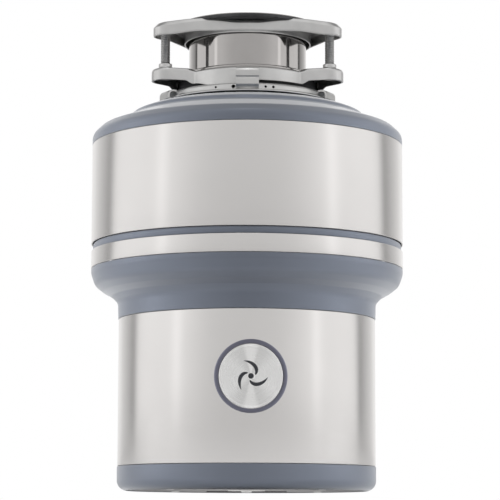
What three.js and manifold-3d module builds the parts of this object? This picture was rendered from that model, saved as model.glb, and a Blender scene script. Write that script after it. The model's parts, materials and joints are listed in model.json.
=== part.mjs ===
// Kitchen garbage disposal (under-sink food waste disposer) with a three-screw twist-lock sink mount.
// Millimetres, +Z up. The origin is on the motor shaft's axis in the plane of the underside of the base,
// and the badge faces -Y. The drain elbow leaves at the back, towards +Y.
import * as THREE from 'three';
import { mergeVertices } from 'three/addons/utils/BufferGeometryUtils.js';
import Module from 'manifold-3d';

const wasm = await Module();
wasm.setup();

// ---------- driving dimensions ----------
const GAP = 0.3;                  // clearance between neighbouring pieces
const BODY_R = 113.5;             // upper, insulated body
const MOTOR_R = 93.1;             // lower, motor body
const SKIN = 0.9;                 // stainless wrap thickness
const SHELL = 2.2;                // moulded shell thickness

const CAP_TOP = 17.4;             // base cap
const LOWER_BAND_TOP = 123.6;     // lower steel wrap
const WAIST_TOP = 159.7;          // waist shell, where it meets the narrow band
const NARROW_BAND_TOP = 172.6;
const UPPER_BAND_BOTTOM = 178.0;
const UPPER_BAND_TOP = 250.6;

const SHAFT_R = 8;
const JOURNAL_R = 6.35;
const HEX_FLATS = 6.35;           // quarter-inch wrench socket in the shaft's lower end

const OUTLET_Z = 142;             // drain outlet's centre height
const PIPE_R = 19;                // drain elbow's outer radius
const PIPE_BORE = 17;
const OUTLET_FACE_Y = 116.5;      // machined face of the outlet boss
const OUTLET_BOLT_X = 32;

const NECK_R = 46.5;              // container neck's outer radius
const SLEEVE_R = 43.2;            // sink flange's sleeve
const SLEEVE_BORE = 41.7;
const SCREW_RADIUS = 68.5;        // distance of the mounting screws from the axis
const SCREW_R = 3.2;
const BODY_SIDES = 36;            // facets of the large round shells
const NECK_SIDES = 24;            // facets of the sink mount and the grinding set
const SMALL_SIDES = 16;
const CORNERS = [-30, 90, 210];   // azimuths of the ears, screws and plate corners
const TABS = [270, 30, 150];      // azimuths of the mounting ring's hook tabs

// ---------- materials ----------
const finish = (color, metalness, roughness) =>
  new THREE.MeshStandardMaterial({ color, metalness, roughness });
const stainless = () => finish(0xd4d2d0, 1, 0.32);
const polished = () => finish(0xdcdcdc, 1, 0.14);
const zinc = () => finish(0xb9babb, 1, 0.38);
const castAluminium = () => finish(0xa5a7a8, 1, 0.55);
const laminations = () => finish(0x6c6f75, 1, 0.5);
const copper = () => finish(0xb66a3a, 1, 0.35);
const plastic = () => finish(0x6b7181, 0, 0.42);
const blackPlastic = () => finish(0x1d1e20, 0, 0.6);
const rubber = () => finish(0x1a1a1b, 0, 0.85);
const foam = () => finish(0xd9d6cc, 0, 0.95);
const redPlastic = () => finish(0xa81f1c, 0, 0.4);
const brass = () => finish(0xb3924a, 1, 0.35);

// ---------- geometry helpers ----------
const rad = (degrees) => (degrees * Math.PI) / 180;
const polar = (r, degrees) => [r * Math.cos(rad(degrees)), r * Math.sin(rad(degrees))];

// One closed body: shared vertices merged, collapsed triangles dropped, faces pointing out.
function closed(geometry) {
  const bare = geometry.clone();
  bare.deleteAttribute('normal');
  bare.deleteAttribute('uv');
  const merged = mergeVertices(bare, 1e-4);
  const position = merged.getAttribute('position');
  const index = merged.getIndex().array;
  const kept = [];
  let volume = 0;
  const [a, b, c] = [new THREE.Vector3(), new THREE.Vector3(), new THREE.Vector3()];
  for (let i = 0; i < index.length; i += 3) {
    const [i0, i1, i2] = [index[i], index[i + 1], index[i + 2]];
    if (i0 === i1 || i1 === i2 || i2 === i0) continue;
    kept.push(i0, i1, i2);
    a.fromBufferAttribute(position, i0);
    b.fromBufferAttribute(position, i1);
    c.fromBufferAttribute(position, i2);
    volume += a.dot(b.cross(c));
  }
  if (volume < 0) kept.reverse();
  merged.setIndex(kept);
  return merged;
}

function solid(geometry) {
  const g = closed(geometry);
  const vertProperties = new Float32Array(g.getAttribute('position').array);
  const triVerts = new Uint32Array(g.getIndex().array);
  return new wasm.Manifold(new wasm.Mesh({ numProp: 3, vertProperties, triVerts }));
}

function fromSolid(body) {
  const mesh = body.getMesh();
  const g = new THREE.BufferGeometry();
  g.setAttribute('position', new THREE.BufferAttribute(new Float32Array(mesh.vertProperties), 3));
  g.setIndex([...mesh.triVerts]);
  return g;
}

const cut = (geometry, ...tools) => fromSolid(tools.reduce((s, t) => s.subtract(solid(t)), solid(geometry)));
const join = (geometry, ...others) => fromSolid(others.reduce((s, o) => s.add(solid(o)), solid(geometry)));

// A profile of [radius, height] points turned about Z; it closes on itself.
function turned(points, segments = BODY_SIDES) {
  const loop = [...points, points[0]].map(([r, z]) => new THREE.Vector2(r, z));
  return new THREE.LatheGeometry(loop, segments).rotateX(Math.PI / 2);
}

const tube = (inner, outer, z0, z1, segments = BODY_SIDES) =>
  turned([[inner, z0], [outer, z0], [outer, z1], [inner, z1]], segments);

// A solid round bar about Z, moved to (x, y).
function bar(r, z0, z1, segments = 16, x = 0, y = 0) {
  const g = new THREE.CylinderGeometry(r, r, z1 - z0, segments).rotateX(Math.PI / 2);
  return g.translate(x, y, (z0 + z1) / 2);
}

const block = (x0, x1, y0, y1, z0, z1) =>
  new THREE.BoxGeometry(x1 - x0, y1 - y0, z1 - z0).translate((x0 + x1) / 2, (y0 + y1) / 2, (z0 + z1) / 2);

function slab(shape, z0, z1, curveSegments = 6) {
  const g = new THREE.ExtrudeGeometry(shape, { depth: z1 - z0, bevelEnabled: false, curveSegments });
  return g.translate(0, 0, z0);
}

const outline = (points) => new THREE.Shape(points.map(([x, y]) => new THREE.Vector2(x, y)));

function arcPoints(cx, cy, r, from, to, steps) {
  const points = [];
  for (let i = 0; i <= steps; i += 1) {
    const [x, y] = polar(r, from + ((to - from) * i) / steps);
    points.push([cx + x, cy + y]);
  }
  return points;
}

const circle = (r, steps, cx = 0, cy = 0) => arcPoints(cx, cy, r, 0, 360 - 360 / steps, steps - 1);

function withHoles(shape, ...holes) {
  for (const hole of holes) shape.holes.push(outline(hole));
  return shape;
}

const spin = (geometry, degrees) => geometry.clone().rotateZ(rad(degrees));

// A vertical profile in the plane through the axis at an azimuth, extruded to a width across it.
function radialRib(profile, width, azimuth) {
  const settings = { depth: width, bevelEnabled: false, curveSegments: 4 };
  const g = new THREE.ExtrudeGeometry(outline(profile), settings);
  return g.translate(0, 0, -width / 2).rotateX(Math.PI / 2).rotateZ(rad(azimuth));
}

// A round-ended slot outline, long in X.
const obround = (halfLength, halfHeight, steps = 8) => [
  ...arcPoints(halfLength - halfHeight, 0, halfHeight, -90, 90, steps),
  ...arcPoints(halfHeight - halfLength, 0, halfHeight, 90, 270, steps),
];

// An outline in X and Z, extruded along +Y from y0 to y1 at a height.
function plateAcrossY(shape, y0, y1, height) {
  const g = new THREE.ExtrudeGeometry(shape, { depth: y1 - y0, bevelEnabled: false });
  return g.rotateX(Math.PI / 2).translate(0, y1, height);
}

const parts = new THREE.Group();

function piece(name, geometry, material) {
  const mesh = new THREE.Mesh(closed(geometry), material);
  mesh.name = name;
  parts.add(mesh);
}

// ---------- base: cap, wrench hole, wiring bay, reset button ----------
const WRENCH_HOLE_R = 10;
const BUTTON = { x: 0, y: -58, r: 6 };
const BAY = { x0: -30, x1: 30, y0: 34, y1: 72 };

const capProfile = [
  [WRENCH_HOLE_R, 0], [86.4, 0], [90.2, 1.2], [92.4, 3.8], [93.4, 7.6], [93.4, CAP_TOP],
  [91, CAP_TOP], [91, 5], [88.5, 3], [WRENCH_HOLE_R, 3],
];
piece('base_cap', cut(
  turned(capProfile),
  bar(BUTTON.r + 1, -1, 4, 12, BUTTON.x, BUTTON.y),
  block(BAY.x0, BAY.x1, BAY.y0, BAY.y1, -1, 4),
), plastic());

const coverScrew = { x: 0, y: BAY.y1 - 6, r: 2.2 };
piece('terminal_cover', slab(withHoles(
  outline([[BAY.x0 + 0.4, BAY.y0 + 0.4], [BAY.x1 - 0.4, BAY.y0 + 0.4],
    [BAY.x1 - 0.4, BAY.y1 - 0.4], [BAY.x0 + 0.4, BAY.y1 - 0.4]]),
  circle(coverScrew.r + GAP, 10, coverScrew.x, coverScrew.y),
), 1.2, 2.7), zinc());
piece('cover_screw', join(
  bar(4, 0.1, 0.9, 12, coverScrew.x, coverScrew.y),
  bar(coverScrew.r, 0.5, 12, 10, coverScrew.x, coverScrew.y),
), zinc());

piece('reset_button', bar(BUTTON.r, 0.6, 13, 12, BUTTON.x, BUTTON.y), redPlastic());
piece('overload_protector', block(-13, 13, BUTTON.y - 10, BUTTON.y + 10, 16.8, 17.6), blackPlastic());

// ---------- motor frame and stator ----------
const TIE_ANGLES = [30, 150, 270];
const TIE_RADIUS = 85.5;
const tieHole = (angle) => bar(2.9, 0, 130, 8, ...polar(TIE_RADIUS, angle));

piece('lower_end_frame', cut(turned([
  [13.3, 6.5], [18, 6.5], [18, 18], [90.5, 18], [90.5, 22], [22, 22], [18, 25.5],
  [9, 25.5], [9, 19.9], [13.3, 19.9],
], NECK_SIDES), ...TIE_ANGLES.map(tieHole)), castAluminium());
piece('lower_bearing', tube(JOURNAL_R + GAP, 13, 9, 19.6, SMALL_SIDES), brass());
piece('motor_housing', tube(90.9, 92.2, 22.3, 118.9), zinc());

const STATOR = { z0: 46, z1: 94, bore: 46.3, slotR: 64, outer: 80, slots: 16 };
const slotted = [];
for (let i = 0; i < STATOR.slots; i += 1) {
  const step = 360 / STATOR.slots;
  const at = i * step;
  slotted.push(polar(STATOR.bore, at), polar(STATOR.bore, at + step * 0.55));
  slotted.push(polar(STATOR.slotR, at + step * 0.6), polar(STATOR.slotR, at + step * 0.95));
}
piece('stator_core', slab(withHoles(outline(circle(STATOR.outer, 28)), slotted), STATOR.z0, STATOR.z1),
  laminations());
const winding = (low, high) => turned([
  [51, low], [74, low], [77, (low + high) / 2], [72, high], [56, high], [49, (low + high) / 2],
], SMALL_SIDES);
piece('stator_winding_lower', winding(30, STATOR.z0 - GAP), copper());
piece('stator_winding_upper', winding(STATOR.z1 + GAP, 110), copper());
const capacitor = new THREE.CylinderGeometry(6.4, 6.4, 50, 12).translate(-52, 0, 10.4);
piece('start_capacitor', capacitor, blackPlastic());

// ---------- rotor ----------
const shaftProfile = [
  [0, 4], [JOURNAL_R, 4], [JOURNAL_R, 24], [SHAFT_R, 26], [SHAFT_R, 138],
  [JOURNAL_R, 138], [JOURNAL_R, 152.6], [5.2, 153], [5.2, 163], [0, 163],
];
const shaftBlank = new THREE.LatheGeometry(shaftProfile.map(([r, z]) => new THREE.Vector2(r, z)), SMALL_SIDES)
  .rotateX(Math.PI / 2);
piece('motor_shaft', cut(shaftBlank, bar(HEX_FLATS / Math.sqrt(3), 3, 14, 6)), stainless());
piece('rotor_core', tube(SHAFT_R + GAP, STATOR.bore - 0.5, STATOR.z0 + 1, STATOR.z1 - 1, 24), laminations());
piece('rotor_end_ring_lower', tube(30, 43.5, 40, STATOR.z0 + 1 - GAP, SMALL_SIDES), castAluminium());
piece('rotor_end_ring_upper', tube(30, 43.5, STATOR.z1 - 1 + GAP, 100, SMALL_SIDES), castAluminium());

// ---------- drain chamber (upper end bell) with the outlet boss ----------
const bellProfile = [
  [16.3, 109], [21.5, 109], [21.5, 119.2], [89.5, 119.2], [89.5, 123.4], [85.5, 126.4], [85.5, 172.2],
  [91.2, 172.2], [91.2, 176], [82, 176], [82, 127], [20, 127], [20, 136.8], [12.3, 136.8], [12.3, 124.3],
  [9, 124.3], [9, 121.2], [16.3, 121.2],
];
const outletBolt = (side, r, y0, y1) => {
  const g = new THREE.CylinderGeometry(r, r, y1 - y0, 8);
  return g.translate(side * OUTLET_BOLT_X, (y0 + y1) / 2, OUTLET_Z);
};
const outletBore = (r, y0, y1, segments = 20) =>
  new THREE.CylinderGeometry(r, r, y1 - y0, segments).translate(0, (y0 + y1) / 2, OUTLET_Z);
const outletBoss = cut(plateAcrossY(outline(obround(42, 20.5)), 70, OUTLET_FACE_Y, OUTLET_Z),
  bar(83, 100, 180, NECK_SIDES));
piece('upper_end_bell', cut(join(turned(bellProfile, NECK_SIDES), outletBoss),
  outletBore(16, 60, 130), ...TIE_ANGLES.map(tieHole),
  ...[-1, 1].map((side) => outletBolt(side, 3.2, 96, 130))), castAluminium());
piece('upper_bearing', tube(SHAFT_R + GAP, 16, 110, 120.9, SMALL_SIDES), brass());
piece('shaft_seal', tube(SHAFT_R + GAP, 12, 124.6, 135.5, SMALL_SIDES), rubber());

TIE_ANGLES.forEach((angle, i) => {
  const [x, y] = polar(TIE_RADIUS, angle);
  piece(`through_bolt_${i + 1}`, join(bar(5, 13.4, 17.7, 6, x, y), bar(2.5, 15, 122, 8, x, y)), zinc());
});

// ---------- grinding set ----------
const PLATE = { z0: 149.5, z1: 152.7, r: 61.5 };
const PIVOT_R = 38;
const drainHoles = [];
for (let i = 0; i < 12; i += 1) {
  if (i % 6 !== 0) drainHoles.push(circle(3, 6, ...polar(52, i * 30)));
}
const plateShape = withHoles(outline(circle(PLATE.r, NECK_SIDES)), circle(JOURNAL_R + GAP, 12),
  circle(3.3, 8, PIVOT_R, 0), circle(3.3, 8, -PIVOT_R, 0), ...drainHoles);
piece('grind_plate', join(slab(plateShape, PLATE.z0, PLATE.z1),
  turned([[JOURNAL_R + GAP, 138.4], [24, 138.4], [24, 140.6], [14, 140.6], [14, PLATE.z0 + 0.5],
    [JOURNAL_R + GAP, PLATE.z0 + 0.5]], 12)), stainless());
piece('plate_nut', slab(withHoles(outline(circle(11, 6)), circle(5.6, 10)), 153.1, 160), zinc());

// A hardened lug: flat arm round its pivot, with a raised hammer at the outer end.
function impeller(side) {
  const arm = outline([...arcPoints(0, 0, 9, 60, 300, 8), [17, -7.5], [19.5, 0], [17, 7.5]]);
  const hammer = outline([[9, -7.5], [17, -7.5], [19.5, 0], [17, 7.5], [9, 7.5]]);
  const body = join(slab(withHoles(arm, circle(3.4, 10)), 153.2, 158.2), slab(hammer, 157.2, 168));
  return body.rotateZ(side > 0 ? 0 : Math.PI).translate(side * PIVOT_R, 0, 0);
}
for (const [name, side] of [['a', 1], ['b', -1]]) {
  const x = side * PIVOT_R;
  piece(`impeller_${name}`, impeller(side), stainless());
  piece(`impeller_rivet_${name}`, join(
    bar(3, 148.6, 160, 10, x, 0), bar(5.2, 147, 149.2, 10, x, 0), bar(5.6, 158.6, 161, 12, x, 0),
  ), zinc());
}

const GRIND_TEETH = 8;
const toothSlots = [];
for (let i = 0; i < GRIND_TEETH; i += 1) {
  toothSlots.push(spin(block(60, 70, -3, 3, 146, 160), (i * 360) / GRIND_TEETH + 15));
}
const RING = { inner: 63.5, outer: 66.5, z0: 147, z1: 186 };
const ringBlank = tube(RING.inner, RING.outer, RING.z0, RING.z1, NECK_SIDES);
piece('shredder_ring', cut(ringBlank, ...toothSlots), stainless());
piece('ring_support', tube(RING.outer + GAP, 91.2, 176.3, 178, NECK_SIDES), stainless());

// ---------- container (grinding chamber) ----------
piece('container_gasket', tube(76, 91.2, 178.3, 179.9, NECK_SIDES), rubber());
const INLET = { azimuth: 125, z: 263, r: 10.5, bore: 8, tip: 126 };
const containerProfile = [
  [74, 180.2], [91.2, 180.2], [91.2, 183.2], [76.2, 183.2], [76.2, 264], [70, 271.5], [NECK_R, 276.5],
  [NECK_R, 283], [49.5, 283.6], [49.5, 286.4], [44.7, 286.4], [44.7, 274.5], [68, 269.5], [74, 262],
];
const alongInlet = (geometry) =>
  geometry.rotateZ(rad(-90)).translate(0, 0, INLET.z).rotateZ(rad(INLET.azimuth));
const inletBar = (r, from, to, segments = 14) =>
  alongInlet(new THREE.CylinderGeometry(r, r, to - from, segments).translate(0, (from + to) / 2, 0));
piece('container_body', cut(turned(containerProfile, NECK_SIDES), inletBar(INLET.bore, 60, 90)), stainless());
piece('clamp_band', turned([
  [88.5, 170.4], [93.8, 170.4], [93.8, 185.2], [88.5, 185.2], [88.5, 183.5], [91.6, 183.5], [91.6, 171.9],
  [88.5, 171.9],
], NECK_SIDES), zinc());
piece('dishwasher_inlet', cut(
  join(inletBar(INLET.r, 74, INLET.tip), inletBar(INLET.r + 1.2, INLET.tip - 4, INLET.tip)),
  inletBar(INLET.bore, 60, 108), inletBar(INLET.bore, 111, INLET.tip + 2), bar(76.5, 230, 290, NECK_SIDES),
), blackPlastic());

const FOAM = { outer: 111, inner: 77.5, z0: 187, z1: 240, half: 88 };
const halfFoam = (side) => slab(outline([
  ...arcPoints(0, 0, FOAM.outer, side * 90 - FOAM.half, side * 90 + FOAM.half, 16),
  ...arcPoints(0, 0, FOAM.inner, side * 90 + FOAM.half, side * 90 - FOAM.half, 16),
]), FOAM.z0, FOAM.z1);
piece('insulation_front', halfFoam(-1), foam());
piece('insulation_back', halfFoam(1), foam());

// ---------- outer skins ----------
const outletNotch = plateAcrossY(outline(obround(43.2, 21.7)), 60, 130, OUTLET_Z);
const wrap = (radius, z0, z1) => tube(radius - SKIN, radius, z0, z1);
piece('lower_band', cut(wrap(MOTOR_R, CAP_TOP + GAP, LOWER_BAND_TOP - GAP), outletNotch), stainless());
piece('narrow_band', cut(wrap(BODY_R, WAIST_TOP + GAP, NARROW_BAND_TOP), outletNotch), stainless());
piece('accent_ring', tube(BODY_R - 2.9, BODY_R - 1.2, NARROW_BAND_TOP + GAP, UPPER_BAND_BOTTOM - GAP),
  plastic());
piece('upper_band', wrap(BODY_R, UPPER_BAND_BOTTOM, UPPER_BAND_TOP), stainless());

const waistOuter = [
  [MOTOR_R + 0.3, LOWER_BAND_TOP], [93.8, 134.5], [95, 137.3], [97.8, 140], [103.3, 143], [107.7, 145.9],
  [110.5, 148.9], [112.3, 152.3], [BODY_R, WAIST_TOP],
];
const waistInner = [
  [BODY_R - SHELL, WAIST_TOP], [110.1, 153], [108.7, 150.3], [106.3, 147.8], [102.2, 145.1], [96.2, 141.8],
  [92.5, 137.6], [91.6, 134], [91.6, LOWER_BAND_TOP],
];
piece('waist_shell', cut(turned([...waistOuter, ...waistInner]), outletNotch), plastic());

const coverOuter = [
  [BODY_R, UPPER_BAND_TOP + GAP], [112.6, 256.6], [108.5, 262], [102, 265], [86.6, 271.2], [85, 273.2],
  [79.5, 276.3], [68, 279.1], [54, 281.8],
];
const coverInner = [
  [54, 279.4], [78, 273.9], [85, 269.2], [101, 262.6], [110.8, 256], [110.8, UPPER_BAND_TOP + GAP],
];
piece('top_cover', cut(turned([...coverOuter, ...coverInner]), inletBar(INLET.r + 1.4, 70, 130)), plastic());

// ---------- badge ----------
const BADGE = { x: 3, z: 76.5, r: 25.1, ring: 2.8 };
const faceFront = (geometry) => geometry.rotateX(Math.PI / 2).translate(BADGE.x, -MOTOR_R - GAP, BADGE.z);
piece('badge_bezel', cut(
  faceFront(slab(withHoles(outline(circle(BADGE.r, 24)), circle(BADGE.r - BADGE.ring, 24)), -6, 1.6)),
  bar(MOTOR_R + GAP, 30, 120, 72),
), plastic());
piece('badge_disc', cut(
  faceFront(slab(outline(circle(BADGE.r - BADGE.ring - GAP, 24)), -6, 0.9)),
  bar(MOTOR_R + GAP, 30, 120, 72),
), stainless());

// ---------- drain elbow ----------
piece('outlet_gasket', plateAcrossY(withHoles(outline(circle(22.6, 20)), circle(16.6, 20)),
  OUTLET_FACE_Y + GAP, OUTLET_FACE_Y + 2.8, OUTLET_Z), rubber());
const LIP_Y = OUTLET_FACE_Y + 3.1;
const FLANGE_Y = LIP_Y + 2.3;
const ELBOW_BEND = 34;
const ELBOW_END_Z = 58;
const bendStartY = FLANGE_Y + 16;
const bendPoint = (angle) => new THREE.Vector3(
  0, bendStartY + ELBOW_BEND * Math.sin(angle), OUTLET_Z - ELBOW_BEND * (1 - Math.cos(angle)));

// A round section carried along the elbow: mouth, quarter bend, straight tailpipe.
const BEND_STEPS = 6;
const route = [
  new THREE.Vector3(0, LIP_Y - 6, OUTLET_Z),
  new THREE.Vector3(0, (LIP_Y + bendStartY) / 2, OUTLET_Z),
];
for (let i = 0; i <= BEND_STEPS; i += 1) route.push(bendPoint((i / BEND_STEPS) * (Math.PI / 2)));
route.push(new THREE.Vector3(0, bendStartY + ELBOW_BEND, (OUTLET_Z - ELBOW_BEND + ELBOW_END_Z) / 2));
route.push(new THREE.Vector3(0, bendStartY + ELBOW_BEND, ELBOW_END_Z - 6));
const elbowRoute = new THREE.CatmullRomCurve3(route, false, 'centripetal');
const elbowBar = (radius) => new THREE.ExtrudeGeometry(
  outline(circle(radius, 16)), { steps: 12, bevelEnabled: false, extrudePath: elbowRoute });
const trim = [block(-30, 30, 100, LIP_Y, 100, 180), block(-30, 30, 100, 220, 30, ELBOW_END_Z)];
const elbowLip = outletBore(22.6, LIP_Y, LIP_Y + 2);
piece('discharge_elbow', cut(join(elbowBar(PIPE_R), elbowLip), elbowBar(PIPE_BORE), ...trim), zinc());
piece('discharge_flange', plateAcrossY(withHoles(
  outline(obround(42, 24)), circle(PIPE_R + 0.5, 20),
  circle(3.5, 8, -OUTLET_BOLT_X, 0), circle(3.5, 8, OUTLET_BOLT_X, 0),
), FLANGE_Y, FLANGE_Y + 2.6, OUTLET_Z), zinc());
for (const [name, side] of [['left', -1], ['right', 1]]) {
  piece(`discharge_bolt_${name}`, join(
    outletBolt(side, 2.9, 98, FLANGE_Y + 4),
    new THREE.CylinderGeometry(5.4, 5.4, 4.5, 6).translate(side * OUTLET_BOLT_X, FLANGE_Y + 5.2, OUTLET_Z),
  ), zinc());
}

// ---------- sink mount ----------
piece('cushion_mount', turned([
  [49.9, 282.4], [51.6, 282.4], [51.6, 298], [43.7, 298], [43.7, 286.9], [49.9, 286.9],
], NECK_SIDES), rubber());

// The lower ring turns under the hooks; each rolled lug is a ramp that climbs one of them.
const lockRing = turned([
  [52.6, 285.2], [61.2, 285.2], [61.2, 281.6], [62.8, 280.9], [62.8, 287], [52.6, 287],
], NECK_SIDES);
const lugProfile = [
  [61.6, 281.6], [67.5, 280], [68.5, 280.8], [68.5, 283.4], [67.4, 285.4], [65.2, 286.3], [61.6, 286.6],
];
const lugs = CORNERS.map((azimuth) => radialRib(lugProfile, 13, azimuth));
piece('lower_mounting_ring', join(lockRing, ...lugs), zinc());

// A tongue from the hub out to a rounded end about a screw's axis.
const tongue = (endR, rootHalf, inset = 0) => outline([
  [49, -rootHalf + inset], ...arcPoints(SCREW_RADIUS, 0, endR - inset, -84, 84, 6), [49, rootHalf - inset],
]);
const EAR = { z0: 293, z1: 302.2, r: 10, root: 15.5 };
const ears = CORNERS.map((azimuth) => spin(slab(tongue(EAR.r, EAR.root), EAR.z0, EAR.z1), azimuth));
const earHollows = CORNERS.map((azimuth) =>
  spin(slab(tongue(EAR.r, EAR.root, 2.2), EAR.z0 - 1, EAR.z1 - 2.4), azimuth));
const hub = bar(55.2, 288.2, 300.6, NECK_SIDES);
const tabProfile = [
  [52, 296.6], [62, 296.6], [66, 291.5], [66, 283.6],
  [63.7, 283.6], [63.7, 290.4], [60.5, 293.8], [52, 293.8],
];
const tabs = TABS.map((azimuth) => radialRib(tabProfile, 16.3, azimuth));
const screwHoles = CORNERS.map((azimuth) =>
  bar(SCREW_R + GAP, 280, 310, 10, ...polar(SCREW_RADIUS, azimuth)));
const collars = CORNERS.map((azimuth) => bar(4.9, 297.6, 306, 10, ...polar(SCREW_RADIUS, azimuth)));
const ring = cut(join(hub, ...ears), ...earHollows);
const cupped = cut(ring, bar(53, 280, 298.3, NECK_SIDES), bar(SLEEVE_R + 0.5, 290, 305, NECK_SIDES));
piece('upper_mounting_ring', cut(join(cupped, ...tabs, ...collars), ...screwHoles), zinc());

const HEAD = { r: 5.6, z0: 293.6, z1: 297.2 };
CORNERS.forEach((azimuth, i) => {
  const [x, y] = polar(SCREW_RADIUS, azimuth);
  const blank = join(bar(SCREW_R, HEAD.z0, 331, 10, x, y), bar(HEAD.r, HEAD.z0, HEAD.z1, 10, x, y));
  const slot = block(x - 6, x + 6, y - 0.6, y + 0.6, HEAD.z0 - 1, HEAD.z0 + 1.4);
  piece(`mounting_screw_${i + 1}`, cut(blank, slot), zinc());
});

piece('snap_ring', turned([
  [SLEEVE_R + GAP, 301.6], [45.4, 301.2], [46.4, 302.8], [45.4, 304.6], [SLEEVE_R + GAP, 304.2],
], NECK_SIDES), polished());

// A triangle round the screws with rounded corners and slightly bowed sides.
const PLATE_CORNER = 9;
const PLATE_SIDE = 47.5;
const cornersOutline = (inset) => outline(CORNERS.flatMap((azimuth) => [
  ...arcPoints(...polar(SCREW_RADIUS, azimuth), PLATE_CORNER - inset, azimuth - 60, azimuth + 60, 5),
  polar(PLATE_SIDE - inset, azimuth + 60),
]));
const backup = cut(
  slab(cornersOutline(0), 327.6, 336.6),
  slab(cornersOutline(2), 326, 334.2),
  bar(SLEEVE_R + 0.5, 320, 340, NECK_SIDES),
);
piece('backup_flange', join(backup, tube(SLEEVE_R + 0.5, 46.4, 327.2, 334.6, NECK_SIDES)), zinc());
piece('fiber_gasket', tube(SLEEVE_R + 0.4, 55, 336.9, 339.1, NECK_SIDES), rubber());
piece('sink_flange', turned([
  [38.5, 284.2], [SLEEVE_R, 284.2], [SLEEVE_R, 339.4], [53, 339.4], [53, 340.2], [44, 340.2],
  [SLEEVE_BORE, 338], [SLEEVE_BORE, 286], [38.5, 286],
], NECK_SIDES), polished());

const slits = [0, 1, 2, 3].map((i) => spin(block(-31, 31, -0.5, 0.5, 290, 312), i * 45));
piece('sink_baffle', cut(turned([
  [39, 286.4], [SLEEVE_BORE - 0.5, 286.4], [SLEEVE_BORE - 0.5, 324], [39, 324], [39, 305],
  [14, 300.5], [14, 298], [39, 302.3],
], 24), ...slits), rubber());

export default parts;
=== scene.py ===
"""The looks of an under-sink garbage disposal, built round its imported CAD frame."""

import json
import math

import bmesh
import bpy
from mathutils import Matrix, Vector


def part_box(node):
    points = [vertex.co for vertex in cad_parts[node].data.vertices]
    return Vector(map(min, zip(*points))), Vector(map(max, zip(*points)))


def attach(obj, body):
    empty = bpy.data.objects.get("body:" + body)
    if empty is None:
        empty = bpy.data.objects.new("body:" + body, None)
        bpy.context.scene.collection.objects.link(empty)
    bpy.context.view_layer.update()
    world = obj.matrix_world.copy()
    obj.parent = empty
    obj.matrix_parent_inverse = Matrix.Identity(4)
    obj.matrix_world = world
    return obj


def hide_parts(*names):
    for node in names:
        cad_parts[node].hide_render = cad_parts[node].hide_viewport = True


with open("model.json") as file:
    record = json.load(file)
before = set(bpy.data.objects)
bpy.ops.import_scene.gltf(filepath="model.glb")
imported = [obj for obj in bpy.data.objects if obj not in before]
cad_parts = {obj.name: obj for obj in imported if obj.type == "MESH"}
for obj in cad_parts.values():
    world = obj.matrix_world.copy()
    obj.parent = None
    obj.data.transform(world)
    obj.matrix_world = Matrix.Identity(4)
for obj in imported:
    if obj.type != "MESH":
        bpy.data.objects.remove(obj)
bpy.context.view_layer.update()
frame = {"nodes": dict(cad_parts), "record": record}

MM = 0.001
ROUND = 180          # steps round a large turned piece
SMALL_ROUND = 72     # steps round a bolt, nipple or pipe
SHARP = 38           # degrees between faces over which an edge is shaded sharp
CRISP = 0.01         # edge radius of a cutting tool, and distance from the axis of a closed end's middle


def span(node):
    """A CAD node's lowest and highest corner, in millimetres."""
    low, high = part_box(node)
    return low / MM, high / MM


def reach(node):
    """A CAD node's outer radius about Z, and its lowest and highest point, in millimetres."""
    low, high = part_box(node)
    return high.x / MM, low.z / MM, high.z / MM


# ------------------------ mesh helpers
def new_object(name, data):
    obj = bpy.data.objects.new(name, data)
    bpy.context.scene.collection.objects.link(obj)
    return obj


def shade(mesh, sharp=SHARP):
    mesh.shade_smooth()
    mesh.set_sharp_from_angle(angle=math.radians(sharp))


def finish_mesh(name, mesh, sharp=SHARP):
    """Welds, turns the faces out, and shades smooth except over sharp edges."""
    bm = bmesh.new()
    bm.from_mesh(mesh)
    bmesh.ops.remove_doubles(bm, verts=bm.verts, dist=1e-6)
    bmesh.ops.dissolve_degenerate(bm, edges=bm.edges, dist=1e-7)
    bmesh.ops.recalc_face_normals(bm, faces=bm.faces)
    bm.to_mesh(mesh)
    bm.free()
    shade(mesh, sharp)
    return new_object(name, mesh)


def grid_object(name, rows, sharp=SHARP, ring=True):
    """A closed surface from rows of millimetre points. Each row is a closed loop; so is the run of rows,
    unless ring is False, which caps its first and last row."""
    count, width = len(rows), len(rows[0])
    assert all(len(row) == width for row in rows), name
    verts = [Vector(p) * MM for row in rows for p in row]
    faces = []
    for i in range(count if ring else count - 1):
        j = (i + 1) % count
        for k in range(width):
            m = (k + 1) % width
            faces.append((i * width + k, i * width + m, j * width + m, j * width + k))
    if not ring:
        faces.append(tuple(range(width)))
        faces.append(tuple((count - 1) * width + k for k in reversed(range(width))))
    mesh = bpy.data.meshes.new(name)
    mesh.from_pydata([tuple(v) for v in verts], [], faces)
    return finish_mesh(name, mesh, sharp)


def rounded(points, radius=0.4, steps=3):
    """A closed outline with its corners rounded; a point may carry its own radius as a third value."""
    out = []
    count = len(points)
    for i, point in enumerate(points):
        here = Vector(point[:2])
        before = Vector(points[i - 1][:2]) - here
        after = Vector(points[(i + 1) % count][:2]) - here
        r = point[2] if len(point) > 2 else radius
        if r <= 0:
            out.append(tuple(here))
            continue
        turn = math.pi - before.angle(after)
        setback = min(r * math.tan(turn / 2), 0.45 * before.length, 0.45 * after.length)
        a = here + before.normalized() * setback
        b = here + after.normalized() * setback
        for s in range(steps + 1):
            t = s / steps
            out.append(tuple(a * (1 - t) ** 2 + here * (2 * t * (1 - t)) + b * t ** 2))
    return out


def swung(line, angle):
    """A (radius, height) line stood in the half plane at an angle about Z, in radians."""
    c, s = math.cos(angle), math.sin(angle)
    return [(r * c, r * s, z) for r, z in line]


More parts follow.
